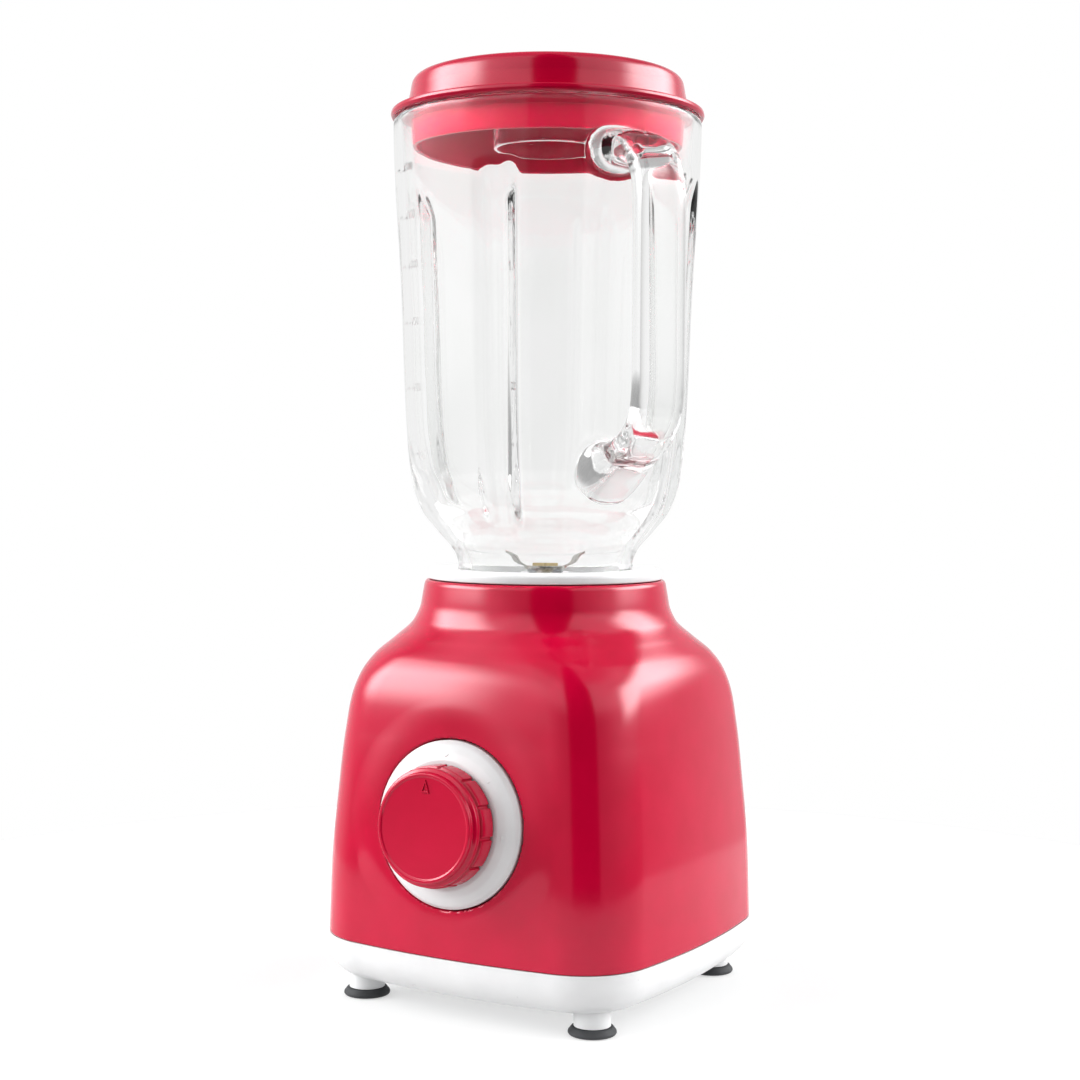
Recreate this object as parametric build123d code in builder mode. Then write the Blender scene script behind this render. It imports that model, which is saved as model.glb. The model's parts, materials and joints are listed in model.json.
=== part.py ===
from build123d import *

import os
from math import cos, radians, sin

# Countertop blender, in millimetres. +Z is up, the floor is z = 0 under the middle of the base,
# and the control knob faces -Y. Every "low" and "high" is a height above the floor.

os.makedirs("parts", exist_ok=True)

# ---------------------------------------------------------------- driving dimensions
WALL = 2.5  # moulded plastic walls

# Motor housing: rounded-square outlines, from the seam up to the round neck.
# Each row is height, spread of the corner centres, corner radius.
SHELL_STATIONS = (
    (27.7, 44.8, 32.0),
    (60.0, 44.0, 32.0),
    (90.0, 42.0, 32.0),
    (115.0, 39.9, 32.0),
    (130.0, 37.4, 32.8),
    (140.0, 32.6, 35.5),
    (148.0, 24.6, 40.5),
    (155.0, 14.0, 46.5),
    (162.0, 5.0, 51.2),
    (170.0, 0.6, 53.9),
    (180.0, 0.0, 53.0),
)
SIDE_BREAK = 8.0  # degrees of each gently bowed side, either way from its middle
SEAM_LOW, SEAM_SPREAD, SEAM_RADIUS = SHELL_STATIONS[0]
NECK_HIGH = SHELL_STATIONS[-1][0]
SEAT_BORE = 48.6  # opening in the neck for the jar seat
DECK_LOW, DECK_HIGH, DECK_BORE = 140.8, 143.8, 38.0  # inner deck that carries the seat

# Base tray and feet
TRAY_LOW = 9.5
TRAY_ROUND = 13.0
FOOT_SPOTS = [(x, y) for x in (-56, 56) for y in (-56, 56)]
POST_RADIUS, POST_LOW = 7.7, 3.4
FOOT_RADIUS = 10.0

# Jar seat, collar and drive
SEAT_OUTER, SEAT_INNER, SEAT_LOW = 48.3, 46.0, 144.0
SEAT_FLOOR = SEAT_LOW + WALL
SEAT_SCREW_SPOTS = [(x, y) for x in (-29.7, 29.7) for y in (-29.7, 29.7)]
POST_FOOT = 124.2  # lower end of the seat's posts, where the motor hangs
COLLAR_RADIUS, COLLAR_LOW, COLLAR_HIGH = 51.5, 180.3, 184.8
SKIRT_RADIUS, SKIRT_LOW = 45.0, 152.0
NECK_GLASS = 38.5  # glass neck inside the collar
BORE_GLASS = 33.0
KEY_ANGLES = 4  # keys that stop the jar turning in its seat

# Jar, handle and lid
JAR_LOW, JAR_HIGH = 163.0, 380.7
MOUTH_OUTER, MOUTH_INNER = 67.4, 63.4
HANDLE_ANGLE = -35.0  # direction of the handle seen from above, from +X
HANDLE_REACH = 105.0
HANDLE_WIDTH, HANDLE_THICK = 22.0, 13.0
LID_FLANGE, LID_DISC, LID_PLUG = 68.6, 60.2, 59.0
LID_LOW, LID_TOP, PLUG_LOW = 381.0, 399.2, 367.5
CAP_TUBE, CAP_FLANGE, CAP_LOW = 23.8, 27.8, 368.0

# Dial and knob, on a plane that leans back with the front face
DIAL_TILT = radians(4.6)
DIAL_CENTRE = (0.0, -76.58, 82.8)
DIAL_RADIUS, DIAL_RISE = 34.5, 5.8
KNOB_BACK, KNOB_FRONT = 6.4, 19.5
KNOB_RADIUS, KNOB_FACE = 25.1, 22.3
KNOB_PANELS = 12

# Motor, on the jar's axis
SHAFT_RADIUS = 4.0
FIT = 0.05  # radial running clearance of a shaft in its bearing or bush
BEARING_RADIUS, BEARING_WIDTH = 11.0, 7.0
STATOR_LOW, STATOR_HIGH, STATOR_BORE = 62.0, 98.0, 17.9
STATOR_X, STATOR_Y = 78.0, 66.0
ARMATURE_RADIUS = 17.2
MOUNT_SPOTS = [(x, y) for x in (-22, 22) for y in (-22, 22)]

DIAL_AXIS = Axis(DIAL_CENTRE, (0, -cos(DIAL_TILT), sin(DIAL_TILT)))
DIAL_FACE = Plane(DIAL_CENTRE, x_dir=(1, 0, 0), z_dir=(0, -cos(DIAL_TILT), sin(DIAL_TILT)))
DIAL_SECTION = Plane(DIAL_CENTRE, x_dir=(1, 0, 0), z_dir=(0, -sin(DIAL_TILT), -cos(DIAL_TILT)))


# ---------------------------------------------------------------- helpers
def rounded_square(spread, radius):
    """A square with round corners and slightly bowed sides; spread 0 gives a circle."""
    side_radius = radius + spread / sin(radians(SIDE_BREAK))
    half = spread + radius * cos(radians(SIDE_BREAK))
    side_centre = half - side_radius * cos(radians(SIDE_BREAK))
    with BuildSketch() as outline:
        with BuildLine():
            for turn, (cx, cy) in enumerate(((1, 1), (-1, 1), (-1, -1), (1, -1))):
                start = 90 * turn + SIDE_BREAK
                CenterArc((cx * spread, cy * spread), radius, start, 90 - 2 * SIDE_BREAK)
                along = radians(90 * (turn + 1))
                middle = (side_centre * cos(along), side_centre * sin(along))
                CenterArc(middle, side_radius, 90 * (turn + 1) - SIDE_BREAK, 2 * SIDE_BREAK)
        make_face()
    return outline.sketch


def disc(radius, low, high, bore=0, spots=((0, 0),), plane=Plane.XY, mode=Mode.ADD):
    """Add or cut upright discs or rings between two heights."""
    with BuildSketch(plane.offset(low)) as face:
        with Locations(*spots):
            Circle(radius)
            if bore:
                Circle(bore, mode=Mode.SUBTRACT)
    extrude(face.sketch, amount=high - low, mode=mode)


def block(width, depth, low, high, spots=((0, 0),), plane=Plane.XY, mode=Mode.ADD):
    """Add or cut rectangular blocks between two heights."""
    with BuildSketch(plane.offset(low)) as face:
        with Locations(*spots):
            Rectangle(width, depth)
    extrude(face.sketch, amount=high - low, mode=mode)


def turned(*outline, plane=Plane.XZ, axis=Axis.Z, mode=Mode.ADD):
    """Revolve a closed outline of (radius, height) points."""
    with BuildSketch(plane) as section:
        with BuildLine():
            Polyline(*outline, close=True)
        make_face()
    revolve(section.sketch, axis=axis, mode=mode)


def round_bottomed(radius, rounding, low, high):
    """A solid rounded square on the seam's corner centres, with its bottom edge rounded under."""
    with BuildPart() as bowl:
        with BuildSketch(Plane.XY.offset(low)):
            add(rounded_square(SEAM_SPREAD, radius))
        extrude(amount=high - low)
        fillet(bowl.faces().sort_by(Axis.Z)[0].edges(), rounding)
    return bowl.part


def save(builder, name):
    builder.part.label = name
    export_step(builder.part, f"parts/{name}.step")


# ---------------------------------------------------------------- motor housing
GROMMET_Z = 42.0
BOSS_HIGH = 46.0

with BuildPart() as housing:
    for height, spread, radius in SHELL_STATIONS:
        with BuildSketch(Plane.XY.offset(height)):
            add(rounded_square(spread, radius))
    loft()
    fillet(housing.faces().sort_by(Axis.Z)[-1].edges(), 2.0)
    cavity = [(SEAM_LOW - 1, SEAM_SPREAD, SEAM_RADIUS), *SHELL_STATIONS[1:-1], (176.0, 0.0, 53.5)]
    for height, spread, radius in cavity:
        with BuildSketch(Plane.XY.offset(height)):
            add(rounded_square(spread, radius - WALL))
    loft(mode=Mode.SUBTRACT)
    disc(SEAT_BORE, 175, NECK_HIGH + 1, mode=Mode.SUBTRACT)
    # deck that carries the jar seat
    with BuildSketch(Plane.XY.offset(DECK_LOW)):
        add(rounded_square(29.4, 36.6))
        Circle(DECK_BORE, mode=Mode.SUBTRACT)
    extrude(amount=DECK_HIGH - DECK_LOW)
    disc(1.7, DECK_LOW - 1, DECK_HIGH + 1, spots=SEAT_SCREW_SPOTS, mode=Mode.SUBTRACT)
    # corner bosses for the tray screws, each with a web to the corner of the wall
    disc(4.6, SEAM_LOW - 5.0, BOSS_HIGH, spots=FOOT_SPOTS)
    for x, y in FOOT_SPOTS:
        web = Plane((x * 1.09, y * 1.09, 0), x_dir=(x, y, 0))
        block(13.5, WALL, SEAM_LOW + 5.0, BOSS_HIGH, plane=web)
    disc(1.55, SEAM_LOW - 6, BOSS_HIGH - 4, spots=FOOT_SPOTS, mode=Mode.SUBTRACT)
    # dial pocket in the front face: a drum behind the wall, then the pocket and the bushing hole
    disc(DIAL_RADIUS + WALL, -6.1, -2.2, plane=DIAL_FACE)
    disc(DIAL_RADIUS + 0.15, -3.6, 8.0, plane=DIAL_FACE, mode=Mode.SUBTRACT)
    disc(4.7, -8.0, 0.0, plane=DIAL_FACE, mode=Mode.SUBTRACT)
    # cord inlet in the back wall
    disc(6.2, 60, 90, plane=Plane((0, 0, GROMMET_Z), x_dir=(1, 0, 0), z_dir=(0, 1, 0)),
         mode=Mode.SUBTRACT)

# ---------------------------------------------------------------- base tray, feet and inlet
VENT_COUNT, VENT_PITCH, VENT_WIDTH, VENT_LENGTH = 11, 7.0, 3.0, 58.0

with BuildPart() as base_tray:
    add(round_bottomed(SEAM_RADIUS, TRAY_ROUND, TRAY_LOW, SEAM_LOW - 0.2))
    add(round_bottomed(SEAM_RADIUS - WALL, TRAY_ROUND - WALL, TRAY_LOW + WALL, SEAM_LOW + 1),
        mode=Mode.SUBTRACT)
    # lip that steps up inside the housing wall
    for low, high, inset in ((19.0, 25.5, WALL - 0.5), (25.0, 30.5, WALL + 1.1)):
        with BuildSketch(Plane.XY.offset(low)):
            add(rounded_square(SEAM_SPREAD, SEAM_RADIUS - inset))
            add(rounded_square(SEAM_SPREAD, SEAM_RADIUS - WALL - 2.6), mode=Mode.SUBTRACT)
        extrude(amount=high - low)
    disc(POST_RADIUS, POST_LOW, SEAM_LOW - 5.3, spots=FOOT_SPOTS)
    disc(3.5, POST_LOW - 1, 14.0, spots=FOOT_SPOTS, mode=Mode.SUBTRACT)
    disc(1.8, 13.0, 24.0, spots=FOOT_SPOTS, mode=Mode.SUBTRACT)
    with BuildSketch(Plane.XY.offset(TRAY_LOW - 1)):
        with GridLocations(VENT_PITCH, 0, VENT_COUNT, 1):
            SlotOverall(VENT_LENGTH, VENT_WIDTH, rotation=90)
    extrude(amount=2 + WALL, mode=Mode.SUBTRACT)

with BuildPart() as rubber_feet:
    for x, y in FOOT_SPOTS:
        with BuildSketch(Plane((x, y, 0), x_dir=(1, 0, 0), z_dir=(0, -1, 0))):
            with BuildLine():
                Polyline((0, 1.6), (6.0, 1.2), (8.8, 0), (9.6, 0), (FOOT_RADIUS, 0.5), (FOOT_RADIUS, 1.0),
                         (8.2, 3.2), (3.4, 3.2), (3.4, 8.0), (0, 8.0), (0, 1.6))
            make_face()
        revolve(axis=Axis((x, y, 0), (0, 0, 1)))

with BuildPart() as tray_screws:
    disc(3.2, 11.6, 13.9, spots=FOOT_SPOTS)
    disc(1.5, 13.9, 38.0, spots=FOOT_SPOTS)

BACK_SECTION = Plane((0, 0, GROMMET_Z), x_dir=(1, 0, 0), z_dir=(0, 0, -1))
with BuildPart() as cord_grommet:
    turned((3.6, 68), (8.2, 68), (8.2, 76.0), (6.0, 76.0), (6.0, 80.4), (8.6, 80.4), (8.2, 82.6),
           (5.6, 86.0), (3.6, 86.0), plane=BACK_SECTION.rotated((180, 0, 0)),
           axis=Axis((0, 0, GROMMET_Z), (0, 1, 0)))

with BuildPart() as terminal_block:
    block(34, 12, TRAY_LOW + WALL, 25, spots=[(0, 52)])
    block(7, 7, 19, 26, spots=[(x, 52) for x in (-11, 0, 11)], mode=Mode.SUBTRACT)

# ---------------------------------------------------------------- jar seat
with BuildPart() as jar_seat:
    turned((12.5, SEAT_LOW), (SEAT_OUTER, SEAT_LOW), (SEAT_OUTER, 179.2), (SEAT_INNER, 179.2),
           (SEAT_INNER, SEAT_FLOOR), (16.5, SEAT_FLOOR), (16.5, 145.9), (12.5, 145.9))
    disc(3.4, SEAT_LOW, 150.6, spots=SEAT_SCREW_SPOTS)
    disc(1.6, SEAT_LOW - 1, 149.4, spots=SEAT_SCREW_SPOTS, mode=Mode.SUBTRACT)
    disc(4.5, POST_FOOT, SEAT_LOW + 1, spots=MOUNT_SPOTS)
    disc(2.0, POST_FOOT - 1, 138.0, spots=MOUNT_SPOTS, mode=Mode.SUBTRACT)
    with BuildSketch(Plane.XY.offset(SEAT_FLOOR - 0.5)):
        with PolarLocations(SEAT_INNER - 0.9, KEY_ANGLES):
            Rectangle(3.0, 5.0)
    extrude(amount=24)

with BuildPart() as seat_screws:
    disc(3.0, DECK_LOW - 2.3, DECK_LOW - 0.1, spots=SEAT_SCREW_SPOTS)
    disc(1.5, DECK_LOW - 0.1, 149.0, spots=SEAT_SCREW_SPOTS)

# ---------------------------------------------------------------- jar, collar and lid
with BuildPart() as jar:
    with BuildSketch(Plane.XZ):
        with BuildLine():
            Polyline((BORE_GLASS, 187), (BORE_GLASS, JAR_LOW), (NECK_GLASS, JAR_LOW), (NECK_GLASS, 187))
            Spline((NECK_GLASS, 187), (40.2, 192), (47.5, 201), (54.5, 210), (58.9, 223), (61.3, 245),
                   (64.0, 308), (MOUTH_OUTER, 378), tangents=((0, 1), (0.06, 1)))
            Polyline((MOUTH_OUTER, 378), (MOUTH_OUTER - 0.4, JAR_HIGH - 0.6),
                     (MOUTH_OUTER - 1.2, JAR_HIGH), (MOUTH_INNER + 1.0, JAR_HIGH),
                     (MOUTH_INNER, JAR_HIGH - 1.2), (MOUTH_INNER, 377))
            Spline((MOUTH_INNER, 377), (60.0, 308), (57.3, 247), (54.8, 229), (50.0, 215.5),
                   (43.0, 206.5), (35.6, 197), (BORE_GLASS, 187), tangents=((-0.06, -1), (0, -1)))
        make_face()
    revolve(axis=Axis.Z)
    # loop handle in the plane of the mould seam
    handle_plane = Plane((0, 0, 0), x_dir=(cos(radians(HANDLE_ANGLE)), sin(radians(HANDLE_ANGLE)), 0),
                         z_dir=(sin(radians(HANDLE_ANGLE)), -cos(radians(HANDLE_ANGLE)), 0))
    with BuildLine(handle_plane) as handle_path:
        FilletPolyline((63.8, 357), (HANDLE_REACH, 352), (HANDLE_REACH, 243), (57.3, 228), radius=22)
    with BuildSketch(Plane(handle_path.line @ 0, z_dir=handle_path.line % 0,
                           x_dir=handle_plane.z_dir)):
        RectangleRounded(HANDLE_WIDTH, HANDLE_THICK, 5.0)
    sweep()

with BuildPart() as jar_collar:
    turned((NECK_GLASS + 0.3, COLLAR_HIGH), (NECK_GLASS + 0.3, 155.0), (30.5, 155.0), (30.5, SKIRT_LOW),
           (SKIRT_RADIUS, SKIRT_LOW), (SKIRT_RADIUS, COLLAR_LOW), (COLLAR_RADIUS, COLLAR_LOW),
           (COLLAR_RADIUS, COLLAR_HIGH))
    fillet(jar_collar.edges().filter_by(GeomType.CIRCLE).group_by(Axis.Z)[-1].sort_by(SortBy.RADIUS)[-1],
           2.0)
    with BuildSketch(Plane.XY.offset(SKIRT_LOW - 1)):
        with PolarLocations(SKIRT_RADIUS, KEY_ANGLES):
            Rectangle(4.4, 6.2)
    extrude(amount=21, mode=Mode.SUBTRACT)

with BuildPart() as jar_gasket:
    disc(NECK_GLASS, 161.0, JAR_LOW, bore=31.0)

with BuildPart() as lid:
    turned((57.0, PLUG_LOW), (LID_PLUG, PLUG_LOW), (LID_PLUG, 376.5), (MOUTH_INNER - 0.5, 378.2),
           (MOUTH_INNER - 0.5, LID_LOW), (68.0, LID_LOW), (LID_FLANGE, 381.8), (LID_FLANGE, 383.2),
           (67.9, 384.2), (62.4, 384.9), (61.4, 385.8), (LID_DISC, 392.0), (59.4, 395.4), (57.6, 398.0),
           (54.0, LID_TOP), (28.3, LID_TOP), (28.3, 397.5), (24.3, 397.5), (24.3, 386.0), (26.5, 386.0),
           (26.5, 395.0), (30.6, 395.0), (30.6, 396.8), (53.4, 396.8), (56.6, 393.6), (57.0, 390.0))

with BuildPart() as measuring_cap:
    turned((22.2, CAP_LOW), (CAP_TUBE, CAP_LOW), (CAP_TUBE, 397.7), (CAP_FLANGE, 397.7),
           (CAP_FLANGE, 399.6), (27.2, 400.2), (22.6, 400.2), (22.2, 399.6), (22.2, 388.4),
           (0, 388.4), (0, 386.4), (22.2, 386.4))
    block(45, 5, 388.0, 399.4)

# ---------------------------------------------------------------- blade set in the jar's base
HUB_HIGH = 182.6
BLADE_THICK, BLADE_LOW = 1.4, 184.2
HUB_PLATE = 9.6  # radius of the round plate in the middle of each blade
SHAFT_TOP = 189.2

with BuildPart() as blade_base:
    turned((7.3, 155.3), (NECK_GLASS, 155.3), (NECK_GLASS, 160.9), (30.6, 160.9), (28.4, 163.4),
           (16.5, 165.0), (12.6, 170.0), (11.0, HUB_HIGH), (7.3, HUB_HIGH))
with BuildPart() as blade_bushing:
    disc(7.3, 156.0, 180.0, bore=SHAFT_RADIUS + FIT)
with BuildPart() as shaft_seal:
    disc(7.3, 180.0, HUB_HIGH, bore=SHAFT_RADIUS + FIT)


def blade(low, span, width, rise, turn):
    """Lay a flat strip through the hub, then bend both wings by a straight slope up or down."""
    slope = Plane((0, 0, low), x_dir=(cos(radians(turn)), sin(radians(turn)), 0),
                  z_dir=(sin(radians(turn)), -cos(radians(turn)), 0))
    disc(HUB_PLATE, low, low + BLADE_THICK)
    for side in (-1, 1):
        with BuildSketch(slope) as wing:
            with BuildLine():
                Polyline((side * 4, 0), (side * 8, 0), (side * span, rise),
                         (side * span, rise + BLADE_THICK), (side * 8, BLADE_THICK),
                         (side * 4, BLADE_THICK), close=True)
            make_face()
        extrude(wing.sketch, amount=width / 2, both=True)
    disc(SHAFT_RADIUS, low - 1, low + BLADE_THICK + 1, mode=Mode.SUBTRACT)


with BuildPart() as lower_blade:
    blade(BLADE_LOW, 22.0, 9.0, -1.6, 118)
with BuildPart() as upper_blade:
    blade(BLADE_LOW + BLADE_THICK, 18.0, 9.0, 12.5, 28)
with BuildPart() as blade_washer:
    disc(8.0, HUB_HIGH + 0.3, BLADE_LOW, bore=SHAFT_RADIUS)
with BuildPart() as blade_nut:
    with BuildSketch(Plane.XY.offset(BLADE_LOW + 2 * BLADE_THICK)):
        RegularPolygon(6.4, 6)
    extrude(amount=3.6)
    disc(SHAFT_RADIUS, 186, SHAFT_TOP, mode=Mode.SUBTRACT)
with BuildPart() as blade_shaft:
    disc(SHAFT_RADIUS, 152.9, SHAFT_TOP)


def drive_star(radius, lobes=6):
    """Draw the lobed outline that both halves of the drive share."""
    Circle(radius * 0.72)
    with PolarLocations(radius * 0.66, lobes):
        Circle(radius * 0.34)


STAR_RADIUS = 10.0
with BuildPart() as jar_coupling:
    disc(15.6, 147.4, 154.9)
    with BuildSketch(Plane.XY.offset(147.0)):
        drive_star(STAR_RADIUS + 0.5)
    extrude(amount=5.6, mode=Mode.SUBTRACT)
    disc(SHAFT_RADIUS, 152, 156, mode=Mode.SUBTRACT)
with BuildPart() as motor_coupling:
    disc(8.5, 134.0, 146.9)
    with BuildSketch(Plane.XY.offset(146.9)):
        drive_star(STAR_RADIUS)
    extrude(amount=5.1)
    disc(SHAFT_RADIUS, 133, 149, mode=Mode.SUBTRACT)

# ---------------------------------------------------------------- dial, knob and switch
with BuildPart() as dial_ring:
    with BuildSketch(DIAL_SECTION):
        with BuildLine():
            Polyline((25.6, DIAL_RISE), (7.0, DIAL_RISE), (7.0, DIAL_RISE - WALL), (28.0, 3.0),
                     (32.0, 0.5), (32.0, -3.5), (DIAL_RADIUS, -3.5), (DIAL_RADIUS, 0.4))
            ThreePointArc((DIAL_RADIUS, 0.4), (30.9, 4.0), (25.6, DIAL_RISE))
        make_face()
    revolve(axis=DIAL_AXIS)
with BuildPart() as knob:
    turned((3.05, KNOB_BACK), (7.0, KNOB_BACK), (7.0, 16.6), (20.6, 16.6), (22.4, KNOB_BACK),
           (KNOB_RADIUS, KNOB_BACK), (24.6, 13.8), (23.6, 14.2), (23.6, 14.9), (24.1, 15.4), (23.6, 17.2),
           (KNOB_FACE, 17.6), (KNOB_FACE, 18.7), (21.5, KNOB_FRONT), (20.4, KNOB_FRONT),
           (19.6, KNOB_FRONT - 0.4), (0, KNOB_FRONT - 0.4), (0, 15.0), (3.05, 15.0),
           plane=DIAL_SECTION, axis=DIAL_AXIS)
    # grip grooves round the skirt and the raised pointer on the face
    with BuildSketch(DIAL_FACE.offset(KNOB_BACK - 1)):
        with PolarLocations(KNOB_RADIUS + 0.2, KNOB_PANELS, start_angle=90 - 6):
            Rectangle(1.8, 0.9)
    extrude(amount=8.4, mode=Mode.SUBTRACT)
    with BuildSketch(DIAL_FACE.offset(KNOB_FRONT - 0.6)):
        with BuildLine():
            Polyline((0, 19.2), (-2.0, 13.6), (2.0, 13.6), close=True)
        make_face()
    extrude(amount=0.8)
with BuildPart() as switch_shaft:
    disc(3.0, -20, 14.8, plane=DIAL_FACE)
with BuildPart() as switch_nut:
    with BuildSketch(DIAL_FACE.offset(-3.5)):
        RegularPolygon(7.6, 6)
        Circle(4.5, mode=Mode.SUBTRACT)
    extrude(amount=2.6)
with BuildPart() as rotary_switch:
    block(28, 28, -24, -6.2, plane=DIAL_FACE)
    disc(4.5, -7, -0.4, plane=DIAL_FACE)
    disc(3.0 + FIT, -20.5, 1, plane=DIAL_FACE, mode=Mode.SUBTRACT)
    block(5, 1, -30, -23.5, spots=[(x, y) for x in (-9, 0, 9) for y in (-6, 6)], plane=DIAL_FACE)

# ---------------------------------------------------------------- motor
LOWER_BEARING, UPPER_BEARING = 34.0, 117.0
COIL_X, COIL_Y = 24.0, 24.5  # middle of each field-coil leg
ARM_X = 36.5

with BuildPart() as motor_shaft:
    disc(SHAFT_RADIUS, 32.0, 149.0)
with BuildPart() as motor_stator:
    with BuildSketch(Plane.XY.offset(STATOR_LOW)):
        RectangleRounded(STATOR_X, STATOR_Y, 9.0)
        Circle(STATOR_BORE, mode=Mode.SUBTRACT)
        with GridLocations(2 * COIL_X, 2 * COIL_Y, 2, 2):
            Rectangle(8.6, 7.6, mode=Mode.SUBTRACT)
    extrude(amount=STATOR_HIGH - STATOR_LOW)
with BuildPart() as field_coils:
    for side in (-1, 1):
        with BuildSketch(Plane((0, side * COIL_Y, 80), x_dir=(1, 0, 0), z_dir=(0, -1, 0))):
            RectangleRounded(55.6, 50.0, 4.0)
            Rectangle(40.6, 37.2, mode=Mode.SUBTRACT)
        extrude(amount=3.3, both=True)

SLOTS = 12
with BuildPart() as armature_core:
    disc(ARMATURE_RADIUS, 64, 96, bore=SHAFT_RADIUS)
    with BuildSketch(Plane.XY.offset(63)):
        with PolarLocations(12.9, SLOTS):
            Rectangle(5.4, 3.0)
    extrude(amount=34, mode=Mode.SUBTRACT)
with BuildPart() as armature_windings:
    with BuildSketch(Plane.XY.offset(62)):
        with PolarLocations(12.9, SLOTS):
            Rectangle(5.0, 2.6)
    extrude(amount=36)
    for low, high in ((57.0, 63.8), (96.2, 103.0)):
        turned((5.6, low), (11.5, low), (15.2, low + 2.4), (15.2, high - 1.6), (13.6, high), (5.6, high))
with BuildPart() as commutator:
    disc(10.0, 45.0, 55.6, bore=SHAFT_RADIUS)
    with BuildSketch(Plane.XY.offset(44)):
        with PolarLocations(10.0, 2 * SLOTS):
            Rectangle(2.4, 0.6)
    extrude(amount=9.0, mode=Mode.SUBTRACT)

with BuildPart() as lower_bearing:
    disc(BEARING_RADIUS, LOWER_BEARING, LOWER_BEARING + BEARING_WIDTH, bore=SHAFT_RADIUS + 0.02)
with BuildPart() as upper_bearing:
    disc(BEARING_RADIUS, UPPER_BEARING, UPPER_BEARING + BEARING_WIDTH, bore=SHAFT_RADIUS + 0.02)

BRUSH_Z = 49.5
with BuildPart() as lower_bracket:
    block(STATOR_X, 26, 34, 38)
    disc(14.0, 33, LOWER_BEARING + BEARING_WIDTH + 0.5)
    block(5, 26, 34, STATOR_LOW - 0.1, spots=[(-ARM_X, 0), (ARM_X, 0)])
    disc(BEARING_RADIUS, LOWER_BEARING, 50, mode=Mode.SUBTRACT)
    disc(6.0, 30, 40, mode=Mode.SUBTRACT)
    block(9.2, 8.2, -60, 60, plane=Plane((0, 0, BRUSH_Z), x_dir=(0, 1, 0), z_dir=(1, 0, 0)),
          mode=Mode.SUBTRACT)
with BuildPart() as upper_bracket:
    with BuildSketch(Plane.XY.offset(UPPER_BEARING)):
        Rectangle(STATOR_X, 26)
        RectangleRounded(56, 56, 6)
    extrude(amount=3.0)
    disc(14.0, UPPER_BEARING - 1.0, UPPER_BEARING + BEARING_WIDTH)
    block(5, 26, STATOR_HIGH + 0.1, UPPER_BEARING + 3.0, spots=[(-ARM_X, 0), (ARM_X, 0)])
    disc(BEARING_RADIUS, UPPER_BEARING, UPPER_BEARING + 8, mode=Mode.SUBTRACT)
    disc(6.0, UPPER_BEARING - 3, UPPER_BEARING + 1, mode=Mode.SUBTRACT)
    disc(2.3, 110, 125, spots=MOUNT_SPOTS, mode=Mode.SUBTRACT)
with BuildPart() as brush_holders:
    for side in (-1, 1):
        tube = Plane((0, 0, BRUSH_Z), x_dir=(0, 1, 0), z_dir=(side, 0, 0))
        block(9.0, 8.0, 13.0, 41.0, plane=tube)
        block(6.4, 5.4, 12.0, 39.0, plane=tube, mode=Mode.SUBTRACT)
with BuildPart() as carbon_brushes:
    for side in (-1, 1):
        tube = Plane((0, 0, BRUSH_Z), x_dir=(0, 1, 0), z_dir=(side, 0, 0))
        block(6.2, 5.2, 10.1, 26.0, plane=tube)
with BuildPart() as brush_springs:
    for side in (-1, 1):
        tube = Plane((0, 0, BRUSH_Z), x_dir=(0, 1, 0), z_dir=(side, 0, 0))
        disc(2.3, 26.1, 38.9, bore=1.5, plane=tube)

FAN_BLADES = 12
with BuildPart() as cooling_fan:
    disc(25.0, 106.4, 108.2)
    disc(8.0, 106.4, 114.0)
    with BuildSketch(Plane.XY.offset(108.0)):
        with PolarLocations(16.6, FAN_BLADES):
            Rectangle(16.6, 1.4, rotation=24)
    extrude(amount=5.6)
    disc(SHAFT_RADIUS, 105, 116, mode=Mode.SUBTRACT)
with BuildPart() as motor_dampers:
    disc(5.4, UPPER_BEARING + 3.0, POST_FOOT, bore=2.3, spots=MOUNT_SPOTS)
with BuildPart() as motor_screws:
    disc(3.4, UPPER_BEARING - 2.6, UPPER_BEARING - 0.1, spots=MOUNT_SPOTS)
    disc(1.9, UPPER_BEARING - 0.1, 136.0, spots=MOUNT_SPOTS)

# ---------------------------------------------------------------- write every piece
PIECES = {
    "housing": housing, "base_tray": base_tray, "rubber_feet": rubber_feet,
    "tray_screws": tray_screws, "cord_grommet": cord_grommet, "terminal_block": terminal_block,
    "jar_seat": jar_seat, "seat_screws": seat_screws, "jar": jar, "jar_collar": jar_collar,
    "jar_gasket": jar_gasket, "lid": lid, "measuring_cap": measuring_cap,
    "blade_base": blade_base, "blade_bushing": blade_bushing, "shaft_seal": shaft_seal,
    "lower_blade": lower_blade, "upper_blade": upper_blade, "blade_washer": blade_washer,
    "blade_nut": blade_nut, "blade_shaft": blade_shaft, "jar_coupling": jar_coupling,
    "motor_coupling": motor_coupling, "dial_ring": dial_ring, "knob": knob,
    "switch_shaft": switch_shaft, "switch_nut": switch_nut, "rotary_switch": rotary_switch,
    "motor_shaft": motor_shaft, "motor_stator": motor_stator, "field_coils": field_coils,
    "armature_core": armature_core, "armature_windings": armature_windings,
    "commutator": commutator, "lower_bearing": lower_bearing, "upper_bearing": upper_bearing,
    "lower_bracket": lower_bracket, "upper_bracket": upper_bracket,
    "brush_holders": brush_holders, "carbon_brushes": carbon_brushes,
    "brush_springs": brush_springs, "cooling_fan": cooling_fan,
    "motor_dampers": motor_dampers, "motor_screws": motor_screws,
}
for name, piece in PIECES.items():
    save(piece, name)
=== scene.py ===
import json
from math import cos, pi, radians, sin, tan

import bmesh
import bpy
import numpy as np
from mathutils import Matrix, Vector


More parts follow.
